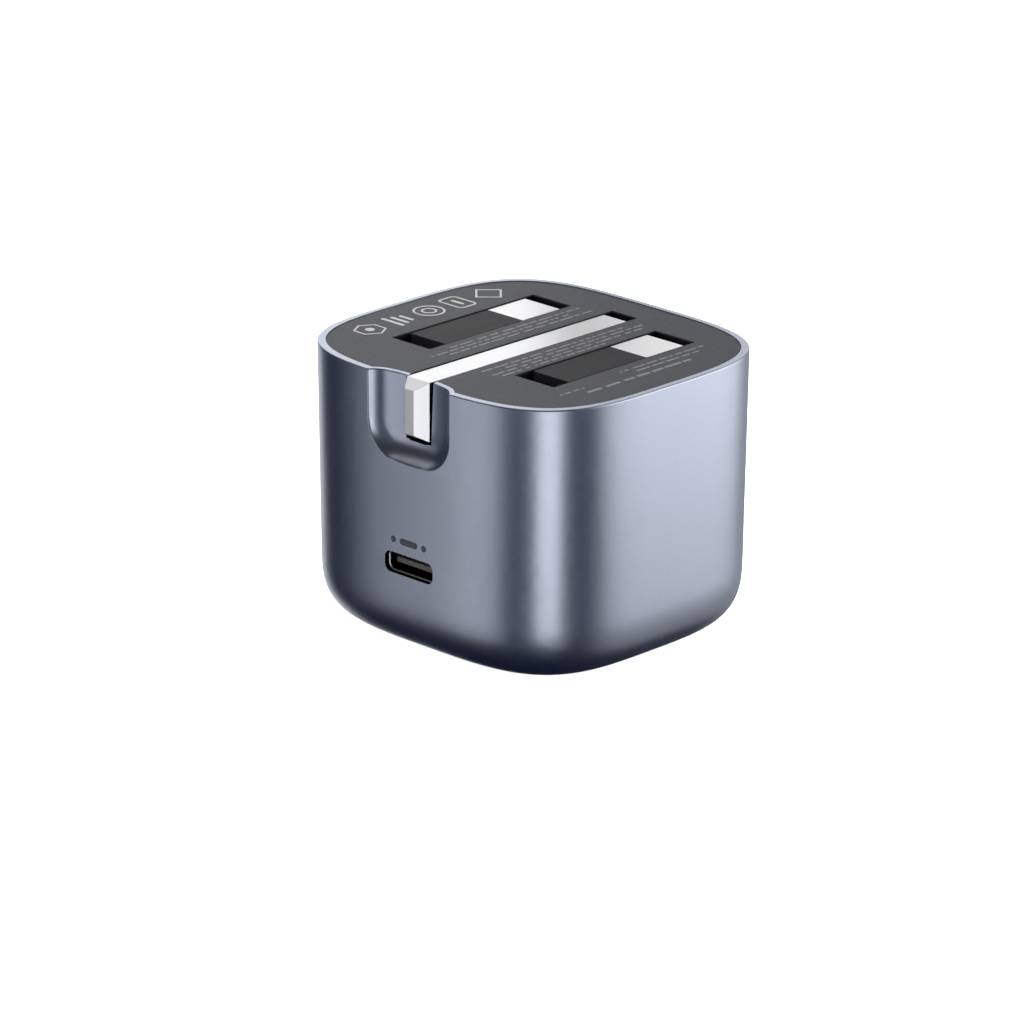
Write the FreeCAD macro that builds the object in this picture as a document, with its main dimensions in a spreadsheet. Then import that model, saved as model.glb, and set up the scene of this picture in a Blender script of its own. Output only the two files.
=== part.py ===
import FreeCAD, Part
import math
import os

# Compact USB-C charger whose three-pin plug folds flat into its face.
# Frame: +Z up through the plug face, -Y is the side with the thumb notch and
# the USB-C port, X runs across the line and neutral pins. Origin at the
# centre of the underside. Millimetres.

os.makedirs("parts", exist_ok=True)
V = FreeCAD.Vector
doc = FreeCAD.newDocument("folding_plug_charger")

# ---------------------------------------------------------------- dimensions
sheet = doc.addObject("Spreadsheet::Sheet", "dims")
SIZES = [
    ("half_width", 24.85, "half width across X at the rim"),
    ("half_depth", 22.95, "half depth along Y at the rim"),
    ("body_height", 38.3, "underside to rim"),
    ("face_height", 38.2, "underside to plug face"),
    ("plan_power_top", 3.7, "squareness of the plan at the rim"),
    ("plan_power_low", 3.55, "squareness of the plan at the underside"),
    ("wall_draft", 0.25, "draft inset over the height"),
    ("foot_rise", 9.9, "height of the rounded lower edge"),
    ("foot_inset", 12.3, "inset of the rounded lower edge"),
    ("foot_power", 3.3, "squareness of the rounded lower edge"),
    ("wall", 1.7, "shell wall"),
    ("floor_wall", 2.0, "shell floor"),
    ("rim_width", 0.95, "rim shown round the plug face"),
    ("plate_gap", 0.05, "gap between rim and plug face"),
    ("plate_thick", 1.8, "plug face plate"),
    ("notch_half", 7.8, "half width of the thumb notch"),
    ("notch_back", -20.95, "Y of the notch's back wall"),
    ("notch_drop", 11.4, "depth of the notch below the face"),
    ("notch_corner", 5.0, "lower corner radius of the notch"),
    ("notch_scoop", 3.3, "radius between notch back and sides"),
    ("notch_hollow", 28.0, "radius of the notch's hollowed back"),
    ("notch_rim", 0.7, "rim shown round the notch"),
    ("pin_spacing", 22.2, "line to neutral, centre to centre"),
    ("pin_wide", 6.35, "line and neutral pin width"),
    ("pin_thick", 4.0, "line and neutral pin thickness"),
    ("pin_drop", 0.1, "folded pins below the face"),
    ("slot_wide", 7.05, "line and neutral slot width"),
    ("slot_near", -11.35, "Y of the slots' near end"),
    ("slot_far", 15.1, "Y of the slots' far end"),
    ("sleeve_near", -8.15, "Y of the sleeve's hinge end, folded"),
    ("sleeve_far", 6.2, "Y where the bare tip starts, folded"),
    ("tip_far", 13.75, "Y of the bare tip's end, folded"),
    ("tip_taper", 0.55, "taper of the bare tip"),
    ("earth_wide", 4.0, "earth pin width"),
    ("earth_thick", 8.0, "earth pin thickness"),
    ("earth_slot", 4.6, "earth slot width"),
    ("earth_slot_far", 17.35, "Y of the earth slot's far end"),
    ("earth_tip", -22.7, "Y of the earth pin's tip, folded"),
    ("earth_tail", 15.5, "Y of the earth pin's tail, folded"),
    ("live_axis_y", -7.8, "Y of the line and neutral hinge"),
    ("live_axis_drop", 3.4, "line and neutral hinge below the face"),
    ("earth_axis_y", 8.6, "Y of the earth hinge"),
    ("earth_axis_drop", 8.6, "earth hinge below the face"),
    ("gear_radius", 2.0, "pitch radius of every pinion"),
    ("gear_teeth", 8.0, "teeth on a full pinion"),
    ("gear_in", 4.8, "inner side of pinions and racks"),
    ("gear_out", 6.7, "outer side of pinions and racks"),
    ("pivot_radius", 0.75, "line and neutral pivot pins"),
    ("pivot_play", 0.03, "radial play on the pivots"),
    ("shaft_radius", 1.0, "earth hinge shaft"),
    ("shaft_play", 0.04, "radial play of the earth shaft"),
    ("cover_top", 15.9, "mechanism cover's top below the face"),
    ("cover_thick", 1.2, "mechanism cover"),
    ("boss_x", 17.6, "screw boss X"),
    ("boss_y", 14.5, "screw boss Y"),
    ("board_top", 11.47, "top of the circuit board"),
    ("board_thick", 1.2, "circuit board"),
    ("port_height", 13.1, "centre of the USB-C port"),
    ("port_wide", 8.68, "USB-C shell width"),
    ("port_tall", 2.82, "USB-C shell height"),
    ("port_front", -22.03, "Y of the USB-C shell's front edge"),
    ("window_wide", 8.7, "port window width"),
    ("window_tall", 2.84, "port window height"),
    ("window_corner", 1.0, "port window corner radius"),
]
for row, (alias, value, note) in enumerate(SIZES, start=1):
    sheet.set("A%d" % row, note)
    sheet.set("B%d" % row, repr(float(value)))
    sheet.setAlias("B%d" % row, alias)
doc.recompute()


def dim(alias):
    return float(sheet.get(alias))


F = "dims.face_height"
FACE = dim("face_height")
parts = {}


def keep(obj, label):
    obj.Label = label
    parts[label] = obj
    return obj


# ------------------------------------------------------------------- helpers
def box(name, x, y, z):
    """Box between two limits on each axis; limits are numbers or cell formulas."""
    o = doc.addObject("Part::Box", name)
    for prop, (lo, hi), axis in (("Length", x, "x"), ("Width", y, "y"), ("Height", z, "z")):
        o.setExpression(prop, "(%s) - (%s)" % (hi, lo))
        o.setExpression("Placement.Base." + axis, "1 * (%s)" % lo)
    return o


TURN = {
    "x": FreeCAD.Rotation(V(0, 1, 0), 90),
    "y": FreeCAD.Rotation(V(1, 0, 0), -90),
    "z": FreeCAD.Rotation(),
}


def rod(name, axis, span, at, radius):
    """Cylinder along an axis; at holds the two other coordinates in XYZ order."""
    o = doc.addObject("Part::Cylinder", name)
    o.Placement = FreeCAD.Placement(V(0, 0, 0), TURN[axis])
    o.setExpression("Radius", "1 * (%s)" % radius)
    o.setExpression("Height", "(%s) - (%s)" % (span[1], span[0]))
    o.setExpression("Placement.Base." + axis, "1 * (%s)" % span[0])
    others = [c for c in "xyz" if c != axis]
    for c, value in zip(others, at):
        o.setExpression("Placement.Base." + c, "1 * (%s)" % value)
    return o


def fuse(name, shapes):
    o = doc.addObject("Part::MultiFuse", name)
    o.Shapes = shapes
    o.Refine = True
    return o


def cut(name, base, tools):
    o = doc.addObject("Part::Cut", name)
    o.Base = base
    o.Tool = tools[0] if len(tools) == 1 else fuse(name + "_tools", tools)
    o.Refine = True
    return o


def common(name, a, b):
    o = doc.addObject("Part::Common", name)
    o.Base = a
    o.Tool = b
    return o


def feature(name, shape):
    o = doc.addObject("Part::Feature", name)
    o.Shape = shape
    return o


def plane_of(body, role):
    for f in body.Origin.OriginFeatures:
        if f.Role == role:
            return f
    raise RuntimeError("no plane " + role)


def prism(name, role, loops, length, base=("0", "0", "0"), back=False):
    """PartDesign body: closed loops on an origin plane, padded along its normal."""
    body = doc.addObject("PartDesign::Body", name + "_body")
    sk = body.newObject("Sketcher::SketchObject", name + "_sketch")
    sk.AttachmentSupport = (plane_of(body, role), [""])
    sk.MapMode = "FlatFace"
    for loop in loops:
        for seg in loop:
            sk.addGeometry(seg, False)
    pad = body.newObject("PartDesign::Pad", name + "_pad")
    pad.Profile = sk
    pad.Reversed = back
    pad.setExpression("Length", "1 * (%s)" % length)
    for c, value in zip("xyz", base):
        body.setExpression("Placement.Base." + c, "1 * (%s)" % value)
    return body


def lines(points):
    p = [V(x, y, 0) for x, y in points]
    return [Part.LineSegment(p[i], p[(i + 1) % len(p)]) for i in range(len(p))]


def ring(x, y, r):
    return [Part.Circle(V(x, y, 0), V(0, 0, 1), r)]


def rounded(half_w, half_h, r, cx=0.0, cy=0.0):
    a = []
    w, h = half_w, half_h
    corners = [(w - r, h - r, 0), (-w + r, h - r, 90), (-w + r, -h + r, 180), (w - r, -h + r, 270)]
    ends = []
    for x, y, start in corners:
        c = V(cx + x, cy + y, 0)
        arc = Part.ArcOfCircle(Part.Circle(c, V(0, 0, 1), r), math.radians(start), math.radians(start + 90))
        a.append(arc)
        ends.append((arc.StartPoint, arc.EndPoint))
    for i in range(4):
        p, q = ends[i][1], ends[(i + 1) % 4][0]
        if p.distanceToPoint(q) > 1e-6:
            a.append(Part.LineSegment(p, q))
    return a


def squircle_points(ax, by, power, count=44):
    pts = []
    for i in range(count):
        a = math.pi + 2 * math.pi * i / count
        c, s = math.cos(a), math.sin(a)
        r = (abs(c / ax) ** power + abs(s / by) ** power) ** (-1.0 / power)
        pts.append((r * c, r * s))
    return pts


def squircle_curve(ax, by, power, z=0.0):
    curve = Part.BSplineCurve()
    curve.interpolate(Points=[V(x, y, z) for x, y in squircle_points(ax, by, power)], PeriodicFlag=True)
    return curve


def squircle_wire(ax, by, power, z):
    return Part.Wire([squircle_curve(ax, by, power, z).toShape()])


# -------------------------------------------------------------- moulded shell
def cup():
    """Outside of the shell: squircle plan, slight draft, lower edge rounded
    along a squircle profile into a flat underside."""
    a, b, high = dim("half_width"), dim("half_depth"), dim("body_height")
    rise, inset, m = dim("foot_rise"), dim("foot_inset"), dim("foot_power")
    n0, n1 = dim("plan_power_top"), dim("plan_power_low")
    wires = []

    def section(z, extra):
        t = min(max((high - z) / high, 0.0), 1.0)
        d = dim("wall_draft") * t + extra
        wires.append(squircle_wire(a - d, b - d, n0 + (n1 - n0) * t, z))

    # side profile (height, inset), then sections evenly spaced along it
    last = math.sin(math.radians(84)) ** (2 / m)
    profile = []
    for k in range(841):
        t = math.radians(84 - k * 0.1)
        u = (math.sin(t) ** (2 / m)) / last
        profile.append((rise * (1 - u), inset * (1 - math.cos(t) ** (2 / m))))
    profile.append((high, 0.0))
    run = [0.0]
    for (z0, i0), (z1, i1) in zip(profile, profile[1:]):
        run.append(run[-1] + math.hypot(z1 - z0, i1 - i0))
    count = 28
    for k in range(count + 1):
        want = run[-1] * k / count
        j = min(range(len(run) - 1), key=lambda q: 0 if run[q] <= want <= run[q + 1] else min(abs(run[q] - want), abs(run[q + 1] - want)) + 1)
        f = (want - run[j]) / (run[j + 1] - run[j])
        section(profile[j][0] + f * (profile[j + 1][0] - profile[j][0]),
                profile[j][1] + f * (profile[j + 1][1] - profile[j][1]))
    return Part.makeLoft(wires, True, False)


def scoop_shape(grow):
    """Thumb notch: U-shaped pocket, open at the top, with a gently hollowed
    back and a wide round between the back and the sides."""
    hw = dim("notch_half") + grow
    low = FACE - dim("notch_drop") - grow
    back = dim("notch_back") + grow
    r = dim("notch_corner") + grow
    hollow = dim("notch_hollow") + grow
    top = FACE + 3.0
    k = math.sqrt(0.5)
    y = back + 2.0
    p = [V(-hw, y, top), V(-hw, y, low + r), V(-hw + r, y, low), V(hw - r, y, low), V(hw, y, low + r), V(hw, y, top)]
    m1 = V(-hw + r - r * k, y, low + r - r * k)
    m2 = V(hw - r + r * k, y, low + r - r * k)
    edges = [Part.makeLine(p[0], p[1]), Part.Arc(p[1], m1, p[2]).toShape(), Part.makeLine(p[2], p[3]),
             Part.Arc(p[3], m2, p[4]).toShape(), Part.makeLine(p[4], p[5]), Part.makeLine(p[5], p[0])]
    solid = Part.Face(Part.Wire(edges)).extrude(V(0, -16.0, 0))
    solid = solid.common(Part.makeCylinder(hollow, top - low + 4.0, V(0, back - hollow, low - 2.0)))
    walls = [q for q in solid.Faces if q.Surface.TypeId == "Part::GeomCylinder" and abs(q.Surface.Radius - hollow) < 1e-6]
    rounded_edges = [e for q in walls for e in q.Edges if e.BoundBox.ZMin < top - 0.5]
    return solid.makeFillet(dim("notch_scoop") + grow, rounded_edges)


def top_edges(shape):
    z = dim("body_height")
    return [e for e in shape.Edges if max(abs(q.z - z) for q in e.discretize(5)) < 1e-3]


# outside with its notch, the notch's lip rounded, then the rim's outer edge
blank_shape = cup().cut(scoop_shape(0.0))
lip = [e for e in blank_shape.Edges
       if e.Curve.TypeId == "Part::GeomBSplineCurve" and abs(e.CenterOfMass.x) < 8 and e.CenterOfMass.y < -22.6
       and 27 < e.CenterOfMass.z < dim("body_height") - 0.5 and e.Length < 10]
if len(lip) != 5:
    raise RuntimeError("notch lip has %d edges" % len(lip))
blank_shape = blank_shape.makeFillet(0.3, lip)
outer = [e for e in top_edges(blank_shape) if e.Curve.TypeId == "Part::GeomBSplineCurve"]
blank_shape = blank_shape.makeFillet(0.2, outer)
shell_blank = feature("shell_blank", blank_shape)

# inside of the shell: stepped pockets that follow the outside
rooms = []
for step, (low, extra) in enumerate(((11.0, 0.0), (5.0, 0.6), (3.2, 1.6), (2.0, 3.8))):
    rooms.append(prism("shell_room_%d" % step, "XY_Plane",
                       [[squircle_curve(dim("half_width") - dim("wall") - extra, dim("half_depth") - dim("wall") - extra,
                                        dim("plan_power_top"))]],
                       "dims.body_height + 2 - %r" % low if step == 0 else "%r" % ((11.2, 11.2, 5.2, 3.4)[step] - low),
                       ("0", "0", "%r" % low)))


scoop_rim = feature("notch_rim_tool", scoop_shape(dim("notch_rim")))
scoop_plate = feature("notch_plate_tool", scoop_shape(dim("notch_rim") + dim("plate_gap")))
scoop_wall = feature("notch_wall_tool", scoop_shape(dim("notch_rim") + 0.7))

seat = prism("plate_seat", "XY_Plane", [[squircle_curve(dim("half_width") - dim("rim_width"),
                                                       dim("half_depth") - dim("rim_width"), dim("plan_power_top"))]],
             "6", ("0", "0", F + " - dims.plate_thick"))
seat_open = cut("plate_seat_open", seat, [scoop_rim])

posts = []
for i, (sx, sy) in enumerate(((-1, -1), (1, -1), (1, 1), (-1, 1))):
    posts.append(rod("board_post_%d" % i, "z", ("1.2", "dims.board_top - dims.board_thick"),
                     ("%d * 14.5" % sx, "%d * 12.5" % sy), "1.7"))
    posts.append(rod("board_peg_%d" % i, "z", ("4", "dims.board_top"), ("%d * 14.5" % sx, "%d * 12.5" % sy), "0.8"))
window = prism("port_window", "XZ_Plane", [rounded(dim("window_wide") / 2, dim("window_tall") / 2, dim("window_corner"))],
               "8", ("0", "-18", "dims.port_height"))
gate_low = FACE - dim("earth_thick") - dim("pin_drop") - 0.33
earth_gate = prism("earth_gate", "XZ_Plane", [lines([(-2.14, gate_low), (2.4, gate_low), (2.95, FACE + 3), (-2.14, FACE + 3)])],
                   "8", ("0", "-18", "0"))
room_open = cut("shell_room_open", rooms[0], [scoop_wall])
shell = cut("shell_less_rooms", shell_blank, [window, earth_gate, room_open, rooms[1], rooms[2], rooms[3], seat_open])
shell.Refine = False
shell = fuse("shell_with_posts", [shell, fuse("board_posts", posts)])
shell.Refine = False
keep(shell, "housing_shell")

# ------------------------------------------------------------ plug face plate
plate = prism("face_plate_slab", "XY_Plane",
              [[squircle_curve(dim("half_width") - dim("rim_width") - dim("plate_gap"),
                               dim("half_depth") - dim("rim_width") - dim("plate_gap"), dim("plan_power_top"))]],
              "dims.plate_thick", ("0", "0", F + " - dims.plate_thick"))
UNDER = F + " - dims.plate_thick - 0"
adds = [plate]
cuts = [scoop_plate]
for s, tag in ((-1, "l"), (1, "n")):
    def xr(a, b, s=s):
        return ("%s" % a, "%s" % b) if s > 0 else ("-(%s)" % b, "-(%s)" % a)
    half_slot = "dims.pin_spacing / 2 - dims.slot_wide / 2"
    far_slot = "dims.pin_spacing / 2 + dims.slot_wide / 2"
    # rib beside the earth slot, deeper where it carries the earth shaft
    adds.append(box("rib_%s" % tag, xr("2.6", "4.4"), ("-19.2", "18.4"), (F + " - 8.5", F + " - 1")))
    adds.append(box("bearing_%s" % tag, xr("2.6", "4.4"), ("5.8", "11.4"), (F + " - 11.2", F + " - 8")))
    # rack guides on the rib
    adds.append(box("guide_low_%s" % tag, xr("4.2", "6.2"), ("-13", "-5"), (F + " - 7.9", F + " - 7.1")))
    adds.append(box("guide_high_%s" % tag, xr("4.2", "6.2"), ("0", "8"), (F + " - 4.9", F + " - 4.1")))
    # skirt round the pin slot
    adds.append(box("skirt_%s" % tag, xr(half_slot + " - 0.63", far_slot + " + 0.7"),
                    ("dims.slot_near - 0.7", "dims.slot_far + 0.7"), (F + " - 4.5", F + " - 1")))
    adds.append(box("live_bearing_%s" % tag, xr(far_slot + " + 0.2", "16.9"),
                    ("dims.live_axis_y - 2.2", "dims.live_axis_y + 2.2"), (F + " - 5.6", F + " - 1")))
    cuts.append(box("slot_%s" % tag, xr(half_slot, far_slot), ("dims.slot_near", "dims.slot_far"),
                    (F + " - 7", F + " + 1")))
    cuts.append(box("hub_gap_%s" % tag, xr("6.75", half_slot + " + 0.2"),
                    ("dims.live_axis_y - 2", "dims.live_axis_y + 2"), (F + " - 5", F + " - dims.plate_thick")))
    cuts.append(rod("pivot_hole_in_%s" % tag, "x", xr("2.5", "4.5"),
                    ("dims.live_axis_y", F + " - dims.live_axis_drop"), "dims.pivot_radius"))
    cuts.append(rod("pivot_hole_out_%s" % tag, "x", xr(far_slot + " - 0.1", "17"),
                    ("dims.live_axis_y", F + " - dims.live_axis_drop"), "dims.pivot_radius"))
    for t, sy in (("a", -1), ("b", 1)):
        adds.append(rod("boss_%s%s" % (tag, t), "z", (F + " - dims.cover_top", F + " - 1"),
                        ("%d * dims.boss_x" % s, "%d * dims.boss_y" % sy), "2.1"))
        cuts.append(rod("pilot_%s%s" % (tag, t), "z", (F + " - dims.cover_top - 1", F + " - 10.5"),
                        ("%d * dims.boss_x" % s, "%d * dims.boss_y" % sy), "0.75"))
cuts.append(box("earth_slot_cut", ("-dims.earth_slot / 2", "dims.earth_slot / 2"), ("-26", "dims.earth_slot_far"),
                (F + " - 9", F + " + 1")))
cuts.append(box("earth_slot_relief", ("-2.6", "2.6"), ("9", "18.6"), (F + " - 9", F + " - 0.9")))
cuts.append(rod("shaft_hole", "x", ("-5", "5"), ("dims.earth_axis_y", F + " - dims.earth_axis_drop"),
                "dims.shaft_radius + dims.shaft_play"))
keep(cut("face_plate_cut", fuse("face_plate_full", adds), cuts), "face_plate")

# --------------------------------------------------------------- gear profile
MODULE = 2 * dim("gear_radius") / dim("gear_teeth")
PRESS = math.radians(25)
ADD, DED, PLAY = 0.7 * MODULE, 0.9 * MODULE, 0.08


def sector(centres, hub):
    """Outline of a partial pinion about (0, 0): teeth at the given angles in
    degrees, a plain hub elsewhere."""
    r, tip, root = dim("gear_radius"), dim("gear_radius") + ADD, dim("gear_radius") - DED
    base = r * math.cos(PRESS)
    inv = lambda x: math.tan(x) - x
    half = (math.pi * MODULE / 2 - PLAY / 2) / (2 * r) + inv(PRESS)
    flank = []
    for k in range(7):
        q = base + (tip - base) * k / 6.0
        flank.append((q, half - inv(math.acos(min(1.0, base / q)))))
    pts = []
    step = 2 * math.pi / dim("gear_teeth")
    order = sorted(math.radians(c) for c in centres)
    for i, c in enumerate(order):
        pts.append((root, c - half))
        pts += [(q, c - a) for q, a in flank]
        pts += [(q, c + a) for q, a in reversed(flank)]
        pts.append((root, c + half))
        if i + 1 < len(order):
            pts.append((root, (c + order[i + 1]) / 2))
    end, start = order[-1] + half, order[0] - half + 2 * math.pi
    count = 14
    for k in range(count + 1):
        a = end + 0.12 + (start - end - 0.24) * k / count
        pts.append((hub, a))
    return [(q * math.cos(a), q * math.sin(a)) for q, a in pts]


def rack_outline(y0, y1, low, high, up, down):
    """Side outline of a rack bar: teeth on top at the Y values in up, teeth
    underneath at those in down."""
    t = math.tan(PRESS)
    half = (math.pi * MODULE / 2 - PLAY / 2) / 2
    tip, root = half - ADD * t, half + DED * t
    depth = ADD + DED
    pts = [(y0, low)]
    for y in sorted(down):
        pts += [(y - root, low + depth), (y - tip, low), (y + tip, low), (y + root, low + depth)]
    pts += [(y1, low)] if not down else [(y1, low + depth)]
    if down:
        pts[0] = (y0, low)
        first = min(down) - math.pi * MODULE / 2
        pts.insert(1, (first, low))
        pts.insert(2, (first, low + depth))
    top = []
    for y in sorted(up, reverse=True):
        top += [(y + root, high - depth), (y + tip, high), (y - tip, high), (y - root, high - depth)]
    last = max(up) + math.pi * MODULE / 2
    pts += [(y1, high), (last, high), (last, high - depth)] + top + [(y0, high - depth)]
    return pts


LIVE_Y, LIVE_DROP = dim("live_axis_y"), dim("live_axis_drop")
EARTH_Y, EARTH_DROP = dim("earth_axis_y"), dim("earth_axis_drop")
PITCH = math.pi * MODULE
rack_high = FACE - LIVE_DROP - dim("gear_radius") + ADD
rack_low = FACE - EARTH_DROP + dim("gear_radius") - ADD
teeth_up = [LIVE_Y + k * PITCH for k in (-3, -2, -1, 0, 1)]
teeth_down = [EARTH_Y + k * PITCH for k in (-3, -2, -1, 0, 1)]
bar = rack_outline(-13.4, 11.2, rack_low, rack_high, teeth_up, teeth_down)
rack_bits = []
for s, tag in ((-1, "l"), (1, "n")):
    x0 = "dims.gear_in" if s > 0 else "-dims.gear_out"
    rack_bits.append(prism("rack_bar_%s" % tag, "YZ_Plane", [lines(bar)], "dims.gear_out - dims.gear_in", (x0, "0", "0")))
    x1 = "dims.gear_out" if s > 0 else "-dims.gear_in"
    rack_bits.append(box("rack_leg_%s" % tag, (x0, x1), ("-3.5", "-0.5"), (F + " - 10.4", F + " - 6.5")))
rack_bits.append(box("rack_bridge", ("-dims.gear_out", "dims.gear_out"), ("-3.5", "-0.5"), (F + " - 10.4", F + " - 9")))
keep(fuse("rack_fuse", rack_bits), "rack_slider")

# -------------------------------------------------------------- earth pin set
AXE = ("dims.earth_axis_y", F + " - dims.earth_axis_drop")
ew, et = dim("earth_wide") / 2, dim("earth_thick")
e_top = FACE - dim("pin_drop")
e_low = e_top - et
tipx, tipz, tipy = 1.18, 1.0, 1.72
y_tip = dim("earth_tip")


def wedge_tip(y_end, y_full, hx, z0, z1, cx, cz):
    """Tapered pin end: full section at y_full, smaller rectangle at y_end."""
    full = Part.makePolygon([V(-hx, y_full, z0), V(hx, y_full, z0), V(hx, y_full, z1), V(-hx, y_full, z1), V(-hx, y_full, z0)])
    small = Part.makePolygon([V(-hx + cx, y_end, z0 + cz), V(hx - cx, y_end, z0 + cz), V(hx - cx, y_end, z1 - cz),
                              V(-hx + cx, y_end, z1 - cz), V(-hx + cx, y_end, z0 + cz)])
    return Part.makeLoft([full, small], True, True)


earth_tip = feature("earth_tip", wedge_tip(y_tip, y_tip + tipy, ew, e_low, e_top, tipx, tipz))
earth_bar = box("earth_bar", ("-dims.earth_wide / 2", "dims.earth_wide / 2"),
                ("dims.earth_tip + %r" % tipy, "dims.earth_tail"),
                (F + " - dims.pin_drop - dims.earth_thick", F + " - dims.pin_drop"))
earth_hub = rod("earth_hub", "x", ("-dims.earth_wide / 2", "dims.earth_wide / 2"), AXE, "2.3")
keep(cut("earth_pin_cut", fuse("earth_pin_full", [earth_bar, earth_tip, earth_hub]),
         [rod("earth_hub_bore", "x", ("-5", "5"), AXE, "dims.shaft_radius")]), "earth_pin")
keep(rod("earth_shaft_rod", "x", ("-dims.gear_out", "dims.gear_out"), AXE, "dims.shaft_radius"), "earth_shaft")
e_teeth = (67.5, 112.5, 157.5, 202.5)
e_gears = []
for s, tag in ((-1, "l"), (1, "n")):
    x0 = "dims.gear_in" if s > 0 else "-dims.gear_out"
    e_gears.append(prism("earth_gear_%s" % tag, "YZ_Plane", [lines(sector(e_teeth, 1.5))], "dims.gear_out - dims.gear_in",
                         (x0, "dims.earth_axis_y", F + " - dims.earth_axis_drop")))
keep(cut("earth_gears_cut", fuse("earth_gears", e_gears), [rod("earth_gear_bore", "x", ("-8", "8"), AXE, "dims.shaft_radius")]),
     "earth_pinions")

# --------------------------------------------------- line and neutral pin sets
AXL = ("dims.live_axis_y", F + " - dims.live_axis_drop")
l_teeth = (-202.5, -157.5, -112.5, -67.5)
for s, tag, word in ((-1, "l", "line"), (1, "n", "neutral")):
    def xr(a, b, s=s):
        return ("%s" % a, "%s" % b) if s > 0 else ("-(%s)" % b, "-(%s)" % a)
    mid = "dims.pin_spacing / 2"
    x_in, x_out = mid + " - dims.pin_wide / 2", mid + " + dims.pin_wide / 2"
    z_pin = (F + " - dims.pin_drop - dims.pin_thick", F + " - dims.pin_drop")
    # bare metal: tapered tip, full section, core inside the sleeve, contact tail
    tip = feature(word + "_tip", wedge_tip(dim("tip_far"), dim("tip_far") - dim("tip_taper"), dim("pin_wide") / 2,
                                           e_top - dim("pin_thick"), e_top, 0.5, 0.5))
    tip.Placement = FreeCAD.Placement(V(s * dim("pin_spacing") / 2, 0, 0), FreeCAD.Rotation())
    metal = fuse(word + "_pin_fuse", [
        tip,
        box(word + "_bare", xr(x_in, x_out), ("dims.sleeve_far", "dims.tip_far - dims.tip_taper"), z_pin),
        box(word + "_core", xr(mid + " - 2.1", mid + " + 2.1"), ("-5.5", "dims.sleeve_far"), (F + " - 3.2", F + " - 1")),
        box(word + "_tail", xr(mid + " - 1.5", mid + " + 1.5"), ("-9.4", "-5.5"), (F + " - 3", F + " - 1.9"))])
    keep(metal, word + "_pin")
    x0 = "dims.gear_in" if s > 0 else "-dims.gear_out"
    body = fuse(word + "_rotor", [
        box(word + "_sleeve_bar", xr(x_in, x_out), ("dims.sleeve_near", "dims.sleeve_far"), z_pin),
        rod(word + "_hub_in", "x", xr("dims.gear_out - 0.4", mid + " - 1.7"), AXL, "1.6"),
        rod(word + "_hub_out", "x", xr(mid + " + 1.7", x_out), AXL, "1.6"),
        prism(word + "_gear", "YZ_Plane", [lines(sector(l_teeth, 1.5))], "dims.gear_out - dims.gear_in",
              (x0, "dims.live_axis_y", F + " - dims.live_axis_drop"))])
    keep(cut(word + "_sleeve_cut", body, [
        box(word + "_core_room", xr(mid + " - 2.1", mid + " + 2.1"), ("-5.5", "dims.sleeve_far + 1"), (F + " - 3.2", F + " - 1")),
        box(word + "_tail_room", xr(mid + " - 1.5", mid + " + 1.5"), ("-10", "-5.5"), (F + " - 3", F + " - 1.9")),
        rod(word + "_bore_in", "x", xr("4", mid + " - 1.9"), AXL, "dims.pivot_radius + dims.pivot_play"),
        rod(word + "_bore_out", "x", xr(mid + " + 1.9", "16"), AXL, "dims.pivot_radius + dims.pivot_play")]),
        word + "_sleeve")
    keep(fuse(word + "_pivots", [
        rod(word + "_pivot_in", "x", xr("2.7", mid + " - 2"), AXL, "dims.pivot_radius"),
        rod(word + "_pivot_out", "x", xr(mid + " + 2", "16.8"), AXL, "dims.pivot_radius")]), word + "_pivot_pins")
    # stamped terminal: leaf under the contact tail, leg down to the board
    leaf = [(-7.9, FACE - 5.45), (-8.6, FACE - 5.05), (-9.4, FACE - 5.05), (-10.4, FACE - 5.35), (-13.2, FACE - 5.35),
            (-13.2, dim("board_top") - dim("board_thick") - 0.9), (-13.5, dim("board_top") - dim("board_thick") - 0.9),
            (-13.5, FACE - 5.05), (-10.34, FACE - 5.05), (-9.34, FACE - 4.75), (-8.54, FACE - 4.75), (-7.76, FACE - 5.19)]
    leaf = [(y, z - 0.32 if y > -10.5 else z) for y, z in leaf]
    keep(prism(word + "_terminal", "YZ_Plane", [lines(leaf)], "2.4", ("%d * %s - 1.2" % (s, mid), "0", "0")), word + "_terminal")

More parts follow.
